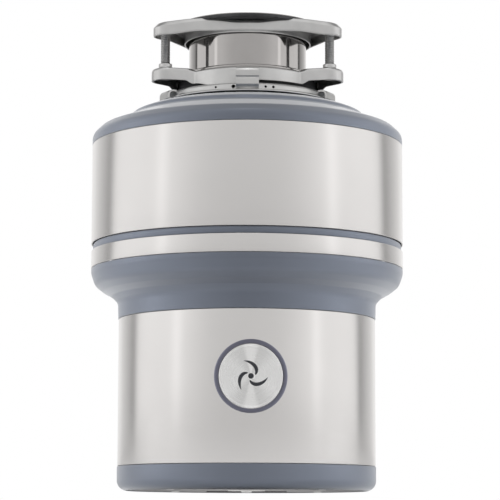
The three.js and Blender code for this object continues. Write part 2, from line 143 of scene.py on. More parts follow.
def turned(name, outline, radius=0.4, steps=ROUND, corner_steps=3):
    """A solid of revolution about Z from a closed (radius, height) outline."""
    line = rounded(outline, radius, corner_steps)
    return grid_object(name, [swung(line, 2 * math.pi * i / steps) for i in range(steps)])


def bar(name, radius, z0, z1, edge=0.4, steps=SMALL_ROUND):
    """A round bar about Z with rounded edges."""
    return turned(name, [(0, z0, 0), (radius, z0), (radius, z1), (0, z1, 0)], edge, steps)


def pin_tool(name, radius, z0, z1, steps=SMALL_ROUND):
    """A sharp-edged round bar to cut with."""
    return bar(name, radius, z0, z1, CRISP, steps)


def slab(name, outline, z0, z1, edge=0.4):
    """A flat outline in X and Y, made solid between two heights, with bevelled rims."""
    middle = Vector((sum(p[0] for p in outline), sum(p[1] for p in outline))) / len(outline)

    def inset(by, z):
        ring = []
        for x, y in outline:
            out = Vector((x, y)) - middle
            ring.append((*(middle + out * (1 - by / max(out.length, 1e-6))), z))
        return ring
    near = edge * 0.3
    rows = [inset(by, z) for by, z in ((edge, z0), (near, z0 + near), (0, z0 + edge),
                                       (0, z1 - edge), (near, z1 - near), (edge, z1))]
    return grid_object(name, rows, ring=False)


def slab_tool(name, outline, z0, z1):
    """A sharp-edged slab to cut with."""
    return slab(name, outline, z0, z1, CRISP)


def rectangle(x0, y0, x1, y1):
    return [(x0, y0), (x1, y0), (x1, y1), (x0, y1)]


def slot_outline(half_length, half_width):
    """The outline of a straight slot about the axis."""
    return rectangle(-half_length, -half_width, half_length, half_width)


def place(obj, matrix):
    """Moves an object's vertices by a matrix."""
    obj.data.transform(matrix)
    return obj


def shift(obj, x=0, y=0, z=0):
    return place(obj, Matrix.Translation(Vector((x, y, z)) * MM))


def spun(obj, degrees, axis="Z"):
    return place(obj, Matrix.Rotation(math.radians(degrees), 4, axis))


def bevel(obj, name, width, segments, angle):
    """A bevel modifier on the edges sharper than an angle in degrees."""
    mod = obj.modifiers.new(name, "BEVEL")
    mod.width = width * MM
    mod.segments = segments
    mod.limit_method = "ANGLE"
    mod.angle_limit = math.radians(angle)


def baked(obj):
    """Applies an object's modifiers to its mesh."""
    evaluated = obj.evaluated_get(bpy.context.evaluated_depsgraph_get())
    mesh = bpy.data.meshes.new_from_object(evaluated)
    obj.modifiers.clear()
    obj.data = mesh
    return obj


def combine(obj, tools, operation):
    """Cuts a piece with its tools, or keeps what they share; the tools are used up."""
    for tool in tools:
        mod = obj.modifiers.new("combine", "BOOLEAN")
        mod.operation = operation
        mod.solver = "EXACT"
        mod.object = tool
    bpy.context.view_layer.update()
    baked(obj)
    for tool in tools:
        bpy.data.objects.remove(tool, do_unlink=True)
    shade(obj.data)
    return obj


def carve(obj, *tools):
    return combine(obj, tools, "DIFFERENCE")


def merged(obj, *others):
    """Joins separate closed shells into one object."""
    bm = bmesh.new()
    for o in (obj, *others):
        bm.from_mesh(o.data)
    mesh = bpy.data.meshes.new(obj.name)
    bm.to_mesh(mesh)
    bm.free()
    shade(mesh)
    for o in others:
        bpy.data.objects.remove(o, do_unlink=True)
    obj.data = mesh
    return obj


def polar(r, degrees):
    return r * math.cos(math.radians(degrees)), r * math.sin(math.radians(degrees))


def arc(cx, cy, r, start, end, steps):
    points = []
    for i in range(steps + 1):
        x, y = polar(r, start + (end - start) * i / steps)
        points.append((cx + x, cy + y))
    return points


def stadium(half, r, steps):
    """The outline of a round-ended slot along X; half is half the distance between its ends' centres."""
    return arc(half, 0, r, -90, 90, steps) + arc(-half, 0, r, 90, 270, steps)


def turn_between(azimuth, others):
    """The signed turn in degrees from the nearest of some azimuths to this one."""
    return min(((azimuth - other + 180) % 360 - 180 for other in others), key=abs)


# ------------------------ material helpers
class Wiring:
    """A node tree with short ways to add nodes and join them."""

    def __init__(self, tree):
        self.tree = tree

    def node(self, kind, **props):
        n = self.tree.nodes.new(kind)
        for key, value in props.items():
            setattr(n, key, value)
        return n

    def link(self, a, b):
        self.tree.links.new(a, b)

    def compute(self, operation, *operands):
        """A maths node; each operand is a socket or a number."""
        n = self.node("ShaderNodeMath", operation=operation)
        for socket, operand in zip(n.inputs, operands):
            if isinstance(operand, bpy.types.NodeSocket):
                self.link(operand, socket)
            else:
                socket.default_value = operand
        return n.outputs[0]

    def split(self, vector):
        parts = self.node("ShaderNodeSeparateXYZ")
        self.link(vector, parts.inputs[0])
        return parts.outputs

    def joined(self, x, y):
        n = self.node("ShaderNodeCombineXYZ")
        self.link(x, n.inputs["X"])
        self.link(y, n.inputs["Y"])
        return n.outputs[0]

    def remap(self, value, low, high, to_low=0, to_high=1):
        n = self.node("ShaderNodeMapRange")
        self.link(value, n.inputs["Value"])
        for key, number in (("From Min", low), ("From Max", high), ("To Min", to_low), ("To Max", to_high)):
            n.inputs[key].default_value = number
        return n.outputs["Result"]

    def shaded(self, value, stops, tint):
        """A colour ramp over a value; each stop is a position and a brightness, in one tint."""
        ramp = self.node("ShaderNodeValToRGB")
        self.link(value, ramp.inputs["Fac"])
        elements = ramp.color_ramp.elements
        while len(elements) < len(stops):
            elements.new(0.5)
        for element, (position, brightness) in zip(elements, stops):
            element.position = position
            element.color = (*(brightness * c for c in tint), 1)
        return ramp.outputs["Color"]


class Surface(Wiring):
    """A Principled material with a few short ways to wire procedural detail into it."""

    def __init__(self, name, color, roughness, metallic=0.0, **constants):
        self.material = bpy.data.materials.new(name)
        self.material.use_nodes = True
        super().__init__(self.material.node_tree)
        self.shader = self.tree.nodes["Principled BSDF"]
        self.color = color
        self.set("Base Color", (*color, 1))
        self.set("Roughness", roughness)
        self.set("Metallic", metallic)
        for key, value in constants.items():
            self.set(key.replace("_", " "), value)
        self.coords = self.node("ShaderNodeTexCoord").outputs["Object"]
        self.bump_normal = None

    def set(self, socket, value):
        self.shader.inputs[socket].default_value = value

    def stretched(self, scale):
        """Object coordinates scaled by three numbers."""
        m = self.node("ShaderNodeMapping")
        m.inputs["Scale"].default_value = scale
        self.link(self.coords, m.inputs["Vector"])
        return m.outputs["Vector"]

    def wrapped(self, around, along):
        """Coordinates that run round Z and up it, so that brushing follows a turned piece."""
        x, y, z = self.split(self.coords)
        angle = self.compute("ARCTAN2", y, x)
        return self.joined(self.compute("MULTIPLY", angle, around), self.compute("MULTIPLY", z, along))

    def dished(self, spokes, rings):
        """Coordinates that run round the piece's own origin in the XZ plane, for spun metal."""
        x, _, z = self.split(self.coords)
        angle = self.compute("ARCTAN2", z, x)
        length = self.node("ShaderNodeVectorMath", operation="LENGTH")
        self.link(self.joined(x, z), length.inputs[0])
        return self.joined(self.compute("MULTIPLY", angle, spokes),
                           self.compute("MULTIPLY", length.outputs["Value"], rings))

    def noise(self, vector, scale, detail=4.0, roughness=0.55):
        n = self.node("ShaderNodeTexNoise")
        self.link(vector or self.coords, n.inputs["Vector"])
        n.inputs["Scale"].default_value = scale
        n.inputs["Detail"].default_value = detail
        n.inputs["Roughness"].default_value = roughness
        return n.outputs["Fac"]

    def vary_color(self, value, darker, lighter, low=0.35, high=0.65):
        """The base colour runs between a darker and a lighter share of itself."""
        shades = self.shaded(self.remap(value, low, high), ((0, darker), (1, lighter)), self.color)
        self.link(shades, self.shader.inputs["Base Color"])

    def vary_roughness(self, value, rough_low, rough_high, low=0.35, high=0.65):
        self.link(self.remap(value, low, high, rough_low, rough_high), self.shader.inputs["Roughness"])

    def bump(self, value, strength, distance=0.0002):
        n = self.node("ShaderNodeBump")
        n.inputs["Strength"].default_value = strength
        n.inputs["Distance"].default_value = distance
        self.link(value, n.inputs["Height"])
        if self.bump_normal is not None:
            self.link(self.bump_normal, n.inputs["Normal"])
        self.bump_normal = n.outputs["Normal"]
        self.link(self.bump_normal, self.shader.inputs["Normal"])


# ------------------------ materials
def brushed_steel(name, color, rough, grain=0.035):
    s = Surface(name, color, rough, 1.0)
    lines = s.noise(s.wrapped(5.0, 5200.0), 1.0, 3.0, 0.7)
    clouds = s.noise(None, 14.0, 3.0)
    s.vary_color(clouds, 0.985, 1.015)
    s.vary_roughness(lines, rough * 0.94, rough * 1.07)
    s.bump(lines, grain, 0.00003)
    return s.material


def plated_steel(name, color, rough):
    """Dull-bright zinc plate: faint crystal mottling and slightly darker patches."""
    s = Surface(name, color, rough, 1.0)
    patches = s.noise(None, 70.0, 3.0)
    fine = s.noise(None, 700.0, 2.0)
    s.vary_color(patches, 0.94, 1.04)
    s.vary_roughness(fine, rough * 0.92, rough * 1.1)
    s.bump(patches, 0.05, 0.0002)
    return s.material


def polished_steel():
    s = Surface("polished_steel", (0.50, 0.485, 0.475), 0.09, 1.0)
    rings = s.noise(s.wrapped(1.2, 2600.0), 1.0, 2.0, 0.6)
    haze = s.noise(None, 40.0, 3.0)
    s.vary_roughness(haze, 0.07, 0.12)
    s.vary_color(haze, 0.97, 1.02)
    s.bump(rings, 0.04, 0.00003)
    return s.material


def moulded_plastic(name, color, rough, texture=0.10, flake=0.0, sheen=0.0):
    """Satin moulded plastic: a fine spark-eroded grain, a slow change of tone and some metal flake."""
    s = Surface(name, color, rough, flake, Sheen_Weight=sheen, Sheen_Roughness=0.45)
    grain = s.noise(None, 2600.0, 2.0, 0.6)
    tone = s.noise(None, 18.0, 3.0)
    s.vary_color(tone, 0.98, 1.02)
    s.vary_roughness(tone, rough * 0.95, rough * 1.05)
    s.bump(grain, texture, 0.00006)
    return s.material


def rubber(name, color, rough=0.78):
    s = Surface(name, color, rough, 0.0)
    grain = s.noise(None, 1500.0, 4.0, 0.65)
    dust = s.noise(None, 60.0, 4.0, 0.7)
    s.vary_color(dust, 0.75, 1.7)
    s.vary_roughness(dust, rough * 0.9, min(rough * 1.15, 1))
    s.bump(grain, 0.25, 0.00012)
    return s.material


def cast_metal(name, color, rough=0.5):
    s = Surface(name, color, rough, 1.0)
    skin = s.noise(None, 420.0, 6.0, 0.65)
    pits = s.noise(None, 1700.0, 2.0, 0.5)
    s.vary_color(skin, 0.82, 1.12)
    s.vary_roughness(skin, rough * 0.85, rough * 1.2)
    s.bump(skin, 0.30, 0.00025)
    s.bump(pits, 0.15, 0.0001)
    return s.material


def laminated(name, color):
    """A stack of varnished steel sheets: fine level lines up its side."""
    s = Surface(name, color, 0.42, 0.85)
    sheets = s.noise(s.stretched((3, 3, 1800)), 1.0, 2.0, 0.5)
    s.vary_color(sheets, 0.6, 1.25, 0.4, 0.6)
    s.bump(sheets, 0.5, 0.0002)
    return s.material


def wound_copper():
    s = Surface("copper_wire", (0.50, 0.17, 0.055), 0.28, 0.9)
    turns = s.node("ShaderNodeTexWave", wave_type="BANDS", bands_direction="X")
    s.link(s.wrapped(60.0, 120.0), turns.inputs["Vector"])
    turns.inputs["Scale"].default_value = 1.4
    turns.inputs["Distortion"].default_value = 2.5
    turns.inputs["Detail"].default_value = 2.0
    s.vary_color(turns.outputs["Fac"], 0.45, 1.2, 0.1, 0.9)
    s.bump(turns.outputs["Fac"], 0.6, 0.0006)
    return s.material


def foam():
    s = Surface("insulating_foam", (0.68, 0.65, 0.58), 0.95)
    cells = s.node("ShaderNodeTexVoronoi")
    s.link(s.coords, cells.inputs["Vector"])
    cells.inputs["Scale"].default_value = 420.0
    s.vary_color(s.noise(None, 30.0, 3.0), 0.9, 1.08)
    s.bump(cells.outputs["Distance"], 0.6, 0.0008)
    return s.material


def spun_disc_with_painted_highlight():
    """Spun steel: its fine rings spread the light along radial tangents, and its base colour carries a
    painted highlight, lighter in an upright wedge and darker at a slant, running out from the middle.
    """
    s = Surface("spun_disc_with_painted_highlight", (0.78, 0.78, 0.775), 0.3, 1.0, Anisotropic=0.85)
    tangent = s.node("ShaderNodeTangent", direction_type="RADIAL", axis="Y")
    s.link(tangent.outputs[0], s.shader.inputs["Tangent"])
    rings = s.noise(s.dished(0.6, 2600.0), 1.0, 2.0, 0.6)
    s.vary_roughness(rings, 0.26, 0.36)
    s.bump(rings, 0.05, 0.00003)
    # Painted highlight: the base colour is lighter near upright and darker at a slant, fixed on the disc.
    x, _, z = s.split(s.coords)
    lean = s.compute("ARCTAN2", s.compute("ABSOLUTE", x), s.compute("ABSOLUTE", z))
    painted_highlight_wedges = ((0.0, 0.99), (0.10, 0.97), (0.20, 0.80), (0.34, 0.82), (0.62, 0.95), (1.0, 0.93))
    s.link(s.shaded(s.compute("MULTIPLY", lean, 2 / math.pi), painted_highlight_wedges, (1, 1, 0.995)),
           s.shader.inputs["Base Color"])
    return s.material


BLUE_GREY = (0.150, 0.170, 0.212)

LOOKS = {
    "brushed_stainless": brushed_steel("brushed_stainless", (0.80, 0.785, 0.775), 0.24),
    "polished_steel": polished_steel(),
    "plated_steel": plated_steel("plated_steel", (0.66, 0.66, 0.655), 0.34),
    "grinding_stainless": brushed_steel("grinding_stainless", (0.62, 0.61, 0.60), 0.3, 0.25),
    "blue_grey_plastic": moulded_plastic("blue_grey_plastic", BLUE_GREY, 0.36, 0.05, 0.45, 0.45),
    "black_plastic": moulded_plastic("black_plastic", (0.018, 0.018, 0.02), 0.45, 0.2),
    "black_rubber": rubber("black_rubber", (0.012, 0.012, 0.013)),
    "gasket_fibre": rubber("gasket_fibre", (0.035, 0.035, 0.037), 0.85),
    "cast_metal": cast_metal("cast_metal", (0.46, 0.465, 0.47)),
    "motor_steel": laminated("motor_steel", (0.22, 0.23, 0.25)),
    "copper_wire": wound_copper(),
    "bearing_bronze": cast_metal("bearing_bronze", (0.55, 0.38, 0.16), 0.35),
    "insulating_foam": foam(),
    "red_plastic": moulded_plastic("red_plastic", (0.48, 0.02, 0.015), 0.25, 0.05),
    "screw_steel": plated_steel("screw_steel", (0.40, 0.40, 0.40), 0.3),
    "emblem_blue": moulded_plastic("emblem_blue", (0.020, 0.022, 0.028), 0.55, 0.02),
    "badge_plastic": moulded_plastic("badge_plastic", (0.105, 0.107, 0.145), 0.42, 0.05),
}
NODE_SLOT = {row["node"]: row["material_slot"] for row in frame["record"]["subparts"]}
NODE_BODY = {n: b for b, names in frame["record"]["behaviour"]["bodies"].items() for n in names}


def wear(obj, material):
    obj.data.materials.clear()
    obj.data.materials.append(material)


def stands_for(obj, *nodes, look=None):
    """A piece that replaces CAD nodes: it rides on their body and takes their finish."""
    slot = NODE_SLOT[nodes[0]]
    wear(obj, look or LOOKS[slot])
    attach(obj, NODE_BODY[nodes[0]])
    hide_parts(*nodes)
    return obj


def added(obj, body, slot, look=None):
    """A piece of detail that no CAD node stands for on its own."""
    wear(obj, look or LOOKS[slot])
    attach(obj, body)
    return obj


# ------------------------ base
BODY_R = reach("upper_band")[0]
MOTOR_R = reach("lower_band")[0]
CAP_R, _, CAP_TOP = reach("base_cap")
SKIN = 0.9                        # thickness of the steel wraps
FOOT_EDGE = 7.6                   # radius of the cap's rounded foot
WRENCH_HOLE_R = 10.0              # hole for the hex wrench in the cap's floor
FLOOR_Z, FLOOR_TOP = 0.5, 2.9
FLOOR_CUT = (-1, 5)               # heights between which a tool passes right through the floor
FIT = 0.4                         # room round a fitting in the floor
VENT_R, VENT_STEP = 66, 15        # radius of the vents' middles, and degrees from one to the next
BASE_SCREW_R = 75


def build_base():
    foot = [(*p, 0) for p in arc(CAP_R - FOOT_EDGE, FOOT_EDGE, FOOT_EDGE, -90, 0, 12)]
    ring = turned("base_ring", [
        (84, 0.6), *foot, (CAP_R, CAP_TOP, 0.6), (CAP_R - 2.4, CAP_TOP), (CAP_R - 2.4, 5, 2.0),
        (CAP_R - 5.5, 3, 1.5), (84, 3),
    ], corner_steps=4)
    stands_for(ring, "base_cap")

    floor = turned("base_floor", rectangle(WRENCH_HOLE_R, FLOOR_Z, 83.7, FLOOR_TOP), 0.5)
    low, high = span("terminal_cover")
    bay = slab_tool("bay_tool", rectangle(low.x - FIT, low.y - FIT, high.x + FIT, high.y + FIT), *FLOOR_CUT)
    low, high = span("reset_button")
    middle = (low + high) / 2
    well = shift(pin_tool("well_tool", 7.0, *FLOOR_CUT), middle.x, middle.y)
    carve(floor, bay, well, *vent_tools())
    added(floor, "housing", "black_plastic")

    for i, azimuth in enumerate((45, 135, 225, 315)):
        at = polar(BASE_SCREW_R, azimuth)
        head = shift(bar(f"base_screw_{i + 1}", 3.0, 0.15, 1.6, 0.5), *at)
        slot = shift(slab_tool("slot_tool", slot_outline(2, 0.4), -1, 0.9), *at)
        added(carve(head, slot), "housing", "plated_steel")
    rim = turned("wrench_hole_rim", rectangle(9.6, 0.15, 13.5, 2.6), 0.5, SMALL_ROUND)
    added(rim, "housing", "plated_steel")


def vent_tools():
    """Radial slots in two fans that leave out the terminal cover's side and the reset button's."""
    tools = []
    for i in range(360 // VENT_STEP):
        azimuth = VENT_STEP * (i + 0.5)
        if -0.85 <= math.sin(math.radians(azimuth)) <= 0.55:
            slot = slab_tool("vent_tool", stadium(7, 1.5, 8), *FLOOR_CUT)
            tools.append(spun(shift(slot, VENT_R), azimuth))
    return tools


def build_base_fittings():
    low, high = span("terminal_cover")
    plate = slab("terminal_cover_plate", rectangle(low.x, low.y, high.x, high.y), low.z, high.z, 0.3)
    groove = turned("knockout_tool", rectangle(10.4, -1, 11, 1.7), CRISP, 48)
    shift(groove, 0, (low.y + high.y) / 2 - 3)
    stands_for(carve(plate, groove), "terminal_cover")

    low, high = span("cover_screw")
    middle = (low + high) / 2
    head = shift(bar("cover_screw_head", 4.0, low.z, low.z + 2.2, 0.6), middle.x, middle.y)
    slot = shift(slab_tool("slot_tool", slot_outline(5, 0.5), -1, low.z + 0.8), middle.x, middle.y)
    shank = shift(bar("cover_screw_shank", 2.1, low.z + 2, high.z, 0.3), middle.x, middle.y)
    stands_for(merged(carve(head, slot), shank), "cover_screw")

    low, high = span("reset_button")
    middle = (low + high) / 2
    r = high.x - middle.x
    collar = low.z + 6
    button = turned("reset_button_cap", [
        (CRISP, low.z + 0.7, 0), (2.6, low.z + 0.5), (3.4, low.z), (r, low.z, 0.9),
        (r, collar), (r - 1, collar + 0.6), (r - 1, high.z), (CRISP, high.z, 0),
    ], 0.5, SMALL_ROUND)
    stands_for(shift(button, middle.x, middle.y), "reset_button")


# ------------------------ shells
OUTLET_Z = 142                    # height of the drain outlet's axis
SEAM_TURN = -62                   # the wraps' seams, turned from the back


def outlet_window():
    """The round-ended opening at the back that the outlet boss passes through."""
    tool = slab_tool("outlet_tool", stadium(21.5, 21.7, 16), -60, -135)
    return shift(spun(tool, 90, "X"), z=OUTLET_Z)


def build_wraps():
    """Steel wraps with small turned-in lips; the two wide ones show a lap seam."""
    for node, meets_outlet, seamed in (("lower_band", True, True), ("narrow_band", True, False),
                                       ("upper_band", False, True)):
        radius, z0, z1 = reach(node)
        band = turned(node + "_wrap", [
            (radius - SKIN, z0), (radius, z0, 0.55), (radius, z1, 0.55), (radius - SKIN, z1)], 0.3,
            corner_steps=4)
        if meets_outlet:
            carve(band, outlet_window())
        stands_for(band, node)
        if seamed:
            seam = slab(node + "_seam", slot_outline(4, 0.25), z0 + 0.8, z1 - 0.8, 0.1)
            added(spun(shift(seam, 0, radius - 0.12), SEAM_TURN), "housing", "brushed_stainless")


def build_waist():
    _, z0, top = reach("waist_shell")
    outer = [(MOTOR_R + 0.3, z0, 0.5), (93.7, 135.4, 6.0), (98.2, 140.1, 4.0), (104.4, 143.5, 9.0),
             (110.6, 148.2, 9.0), (BODY_R - 0.2, 156, 9.0), (BODY_R, top, 0.5)]
    inner = [(BODY_R - 2.2, top), (BODY_R - 2.6, 156, 8), (108.8, 150.2, 8), (103.4, 145.7, 8),
             (96.8, 142.3, 4), (91.7, 136.6, 4), (91.7, z0)]
    shell = turned("waist_shell_moulding", outer + inner, corner_steps=9)
    carve(shell, outlet_window())
    stands_for(shell, "waist_shell")
    radius, z0, z1 = reach("accent_ring")
    ring = turned("accent_ring_moulding", [
        (radius - 1.7, z0), (radius - 0.2, z0), (radius, (z0 + z1) / 2, 3), (radius - 0.2, z1),
        (radius - 1.7, z1)], 0.3)
    stands_for(ring, "accent_ring")


INLET_AZIMUTH, INLET_Z = 125, 263


def build_dome():
    radius, z0, top = reach("top_cover")
    outer = [(radius, z0, 0.4), (radius, 257.5, 7), (107.5, 263.2, 7), (88.2, 270.2, 2.2), (86.3, 271.6, 1.4),
             (84.8, 274.0, 2.6), (77, 277.2, 8), (54, top, 0.6)]
    inner = [(54, 279.4), (78, 274.2, 6), (84, 270.6, 3), (102, 262.4, 5), (110.9, 257, 5), (110.9, z0)]
    cover = turned("top_cover_moulding", outer + inner, corner_steps=9)
    carve(cover, along_inlet(pin_tool("inlet_tool", 11.6, 70, 130)))
    stands_for(cover, "top_cover")


def along_inlet(obj):
    """Turns a piece made about Z to point outwards at the dishwasher inlet."""
    spun(obj, 90, "Y")
    spun(obj, INLET_AZIMUTH)
    return shift(obj, z=INLET_Z)


def build_inlet():
    """The dishwasher nipple, with three barbs and a knock-out web across its bore."""
    barbs = [p for x in (108.6, 113.6, 118.6) for p in ((11.4, x), (10.4, x + 1.0))]
    nipple = turned("dishwasher_nipple", [
        (8, 78.5), (10.5, 78.5), (10.5, 106), *barbs, (11.6, 122.2), (11.6, 124), (10.6, 126), (8, 126),
    ], 0.35, SMALL_ROUND)
    web = turned("knockout_web", [(CRISP, 108.2, 0), (8.4, 108.2), (8.4, 110.6), (CRISP, 110.6, 0)], 0.2,
                 SMALL_ROUND)
    stands_for(along_inlet(merged(nipple, web)), "dishwasher_inlet")


# ------------------------ badge
BADGE_X, BADGE_Z, BADGE_R, BADGE_RING = 3.0, 76.7, 25.3, 2.9
BADGE_STEPS = 120
LIFT = 0.0001                     # metres between the wrap and the back of the badge
VANES = 3


def on_badge(obj):
    """Stands up a piece made about Z, with its +Z to the front, and bends it onto the wrap at the badge."""
    shift(spun(obj, 90, "X"), BADGE_X, 0, BADGE_Z)
    for v in obj.data.vertices:
        out = MOTOR_R * MM + LIFT - v.co.y
        angle = v.co.x / (MOTOR_R * MM)
        v.co = Vector((out * math.sin(angle), -out * math.cos(angle), v.co.z))
    return obj


def vane_outline():
    """A curved vane about Z, widest near its middle and narrow at its outer end."""
    lead, trail = [], []
    steps = 14
    for k in range(steps + 1):
        t = k / steps
        r = 3.0 + 8.5 * t
        lean = 95 * t
        half = 17 * math.sin(math.pi * (0.15 + 0.85 * t)) + 1
        lead.append(polar(r, lean + half))
        trail.append(polar(r, lean - half))
    return lead[::-1] + trail


def build_badge():
    inner = BADGE_R - BADGE_RING
    bezel = turned("badge_bezel_ring", [
        (inner, 0.05), (BADGE_R, 0.05), (BADGE_R, 0.9, 0.7), (BADGE_R - 0.9, 1.55, 0.6),
        (inner + 0.7, 1.5, 0.5), (inner, 1.0, 0.3)], 0.3, BADGE_STEPS, 5)
    stands_for(on_badge(bezel), "badge_bezel", look=LOOKS["badge_plastic"])

    # The disc's face has a raised rim and is slightly domed inside it.
    face = [(CRISP, 0.05, 0), (inner - 0.3, 0.05), (inner - 0.3, 0.75, 0.2), (inner - 1.2, 0.9, 0.3),
            (inner - 1.9, 0.55, 0.3)]
    face += [(x, 0.55 + 0.2 * (1 - (x / 20.0) ** 2)) for x in (18, 14, 10, 6, 3)]
    face += [(CRISP, 0.75, 0)]
    disc = on_badge(turned("badge_disc_face", face, 0.2, BADGE_STEPS, 3))
    # Its origin is the badge's middle, because its finish and its painted highlight wedges run round its own
    # origin.
    shift(disc, -BADGE_X, 0, -BADGE_Z)
    disc.location = Vector((BADGE_X, 0, BADGE_Z)) * MM
    stands_for(disc, "badge_disc", look=spun_disc_with_painted_highlight())

    emblem = [spun(slab(f"badge_vane_{i + 1}", vane_outline(), 0.5, 0.9, 0.03), 360 / VANES * i + 20)
              for i in range(VANES)]
    for piece in (*emblem, bar("badge_hub", 1.9, 0.5, 0.95, 0.1, 40)):
        added(on_badge(piece), "housing", "black_plastic", look=LOOKS["emblem_blue"])


# ------------------------ drain elbow
BOLT_X = 32                       # distance of the outlet's bolts from its axis
THREAD_DEPTH = 0.42               # of the screws and bolts alike
PIPE_R, PIPE_BORE, PIPE_BEND = 19.0, 17.0, 34.0
BACKWARDS, DOWN = (0, 1, 0), (0, 0, -1)


def facing_back(obj):
    """Turns a piece made about Z so that its +Z points to the back."""
    return spun(obj, -90, "X")


def pipe_along(name, route, radius, bore):
    """A hollow pipe along points, each with its direction; the mouths are rounded."""
    rows = []
    steps = 64
    angles = [2 * math.pi * k / steps for k in range(steps)]
    across = Vector((1, 0, 0))
    last = len(route) - 1
    for stations, r, rounding in ((route, radius, 0.35), (route[::-1], bore, -0.35)):
        for i, (point, direction) in enumerate(stations):
            here = Vector(point)
            other = Vector(direction).normalized().cross(across).normalized()
            size = r - (rounding if i in (0, last) else 0)
            rows.append([tuple(here + (across * math.cos(a) + other * math.sin(a)) * size) for a in angles])
    return grid_object(name, rows)


def build_elbow():
    low, high = span("discharge_elbow")
    leg_y = high.y - PIPE_R
    bend_y = leg_y - PIPE_BEND
    route = [((0, y, OUTLET_Z), BACKWARDS) for y in (low.y + 0.4, low.y + 0.9, bend_y - 1)]
    steps = 24
    for i in range(steps + 1):
        a = math.radians(90 * i / steps)
        c, s = math.cos(a), math.sin(a)
        route.append(((0, bend_y + PIPE_BEND * s, OUTLET_Z - PIPE_BEND + PIPE_BEND * c), (0, c, -s)))
    route += [((0, leg_y, z), DOWN) for z in (low.z + 12.4, low.z + 0.5, low.z)]
    pipe = pipe_along("elbow_pipe", route, PIPE_R - 0.2, PIPE_BORE)
    lip = turned("elbow_lip", [
        (17.2, 0), (22.6, 0), (22.6, 2.0), (19.6, 2.0), (PIPE_R, 3.2, 1), (18.4, 3.2), (17.2, 3.2)],
        0.4, SMALL_ROUND)
    shift(facing_back(lip), 0, low.y, OUTLET_Z)
    bead = turned("elbow_bead", [(18.2, -1.1), (PIPE_R, -1.1, 0.8), (PIPE_R, 1.1, 0.8), (18.2, 1.1)],
                  0.4, SMALL_ROUND)
    shift(bead, 0, leg_y, low.z + 12)
    stands_for(merged(pipe, lip, bead), "discharge_elbow")


def build_outlet_flange():
    low, high = span("discharge_flange")
    plate = slab_tool("flange_plate", stadium(18, 24, 24), -low.y, -high.y)
    shift(spun(plate, 90, "X"), z=OUTLET_Z)
    plate.data.flip_normals()
    bore = shift(spun(pin_tool("bore_tool", 19.5, -140, -100), 90, "X"), z=OUTLET_Z)
    eyes = [shift(spun(pin_tool("eye_tool", 3.4, -140, -100, 24), 90, "X"), x, 0, OUTLET_Z)
            for x in (-BOLT_X, BOLT_X)]
    carve(plate, bore, *eyes)
    bevel(plate, "rim", 0.5, 3, 50)
    stands_for(plate, "discharge_flange")

    low, _ = span("outlet_gasket")
    gasket = turned("outlet_gasket_ring", rectangle(16.6, 0, 22.6, 2.5), 0.7, SMALL_ROUND)
    stands_for(shift(facing_back(gasket), 0, low.y, OUTLET_Z), "outlet_gasket")


def build_outlet_bolts():
    """Two hexagon bolts, each seated on a washer on the flange's outer face."""
    washer_thickness = 1.0
    seat = span("discharge_flange")[1].y + washer_thickness
    for side, x in (("left", -BOLT_X), ("right", BOLT_X)):
        node = f"discharge_bolt_{side}"
        low, high = span(node)
        head = hex_head("bolt_head", 5.4, 0, high.y - seat)
        washer = turned("bolt_washer", rectangle(3.0, -0.9, 6.0, 0.0), 0.25, 48)
        shank = threaded_rod("bolt_shank", 2.9, low.y - seat, 0, 1.0)
        stands_for(shift(facing_back(merged(head, washer, shank)), x, seat, OUTLET_Z), node)


def hex_head(name, radius, z0, z1):
    """A hexagonal bolt head with a chamfered crown."""
    head = slab(name, [polar(radius, 60 * i) for i in range(6)], z0, z1, 0.35)
    crown = bar("crown_tool", radius * 0.94, z0 - 1, z1 + 1, 1.9)
    return combine(head, (crown,), "INTERSECT")


def threaded_rod(name, radius, z0, z1, pitch):
    """A rod with a real helical thread that fades out at its two ends."""
    per_pitch, around = 6, 28
    crest, slope = 0.12, 0.76
    rows = []
    count = int((z1 - z0) / pitch * per_pitch)
    for i in range(count + 1):
        z = z0 + (z1 - z0) * i / count
        fade = min(1.0, (z - z0) / pitch, (z1 - z) / pitch)
        row = []
        for k in range(around):
            phase = ((z - z0) / pitch - k / around) % 1.0
            rise = max(0.0, min(1.0, (abs(phase * 2 - 1) - crest) / slope))
            r = radius - THREAD_DEPTH * (1 - rise) - 0.35 * (1 - fade)
            a = 2 * math.pi * k / around
            row.append((r * math.cos(a), r * math.sin(a), z))
        rows.append(row)
    return grid_object(name, rows, sharp=60, ring=False)


# ------------------------ sink mount
SCREW_RADIUS = 68.5               # distance of the mounting screws from the axis
CORNERS = (-30, 90, 210)          # azimuths of the ears, the screws and the backup flange's corners
TABS = (270, 30, 150)             # azimuths of the hook tabs
SLEEVE_R = 43.2                   # outer radius of the sink flange's sleeve


def lobe_radius(azimuth, hub, lobe, root_half):
    """Distance from the axis to a three-eared outline: a round hub with rounded tongues.

    Each tongue ends in a round lobe about its screw, and narrows or widens in a straight line from
    its half width at the hub to the lobe's radius.
    """
    a = math.radians(turn_between(azimuth, CORNERS))
    c, s = math.cos(a), abs(math.sin(a))
    inside = lobe ** 2 - (SCREW_RADIUS * s) ** 2
    tip = SCREW_RADIUS * c + math.sqrt(inside) if inside > 0 else 0
    x_root = hub * math.cos(root_half / hub)
    slope = (lobe - root_half) / (SCREW_RADIUS - x_root)
    side = 0
    if s - slope * c > 1e-6:
        side = (root_half - slope * x_root) / (s - slope * c)
    if side * c > SCREW_RADIUS or side <= 0:
        side = 0
    return max(hub, tip, side)


def smooth_ring(values, passes):
    count = len(values)
    for _ in range(passes):
        values = [(values[i - 1] + 2 * values[i] + values[(i + 1) % count]) / 4 for i in range(count)]
    return values


def ramp(x, x0, x1):
    """A smooth step from 0 at x0 to 1 at x1."""
    t = max(0.0, min(1.0, (x - x0) / (x1 - x0)))
    return t * t * (3 - 2 * t)


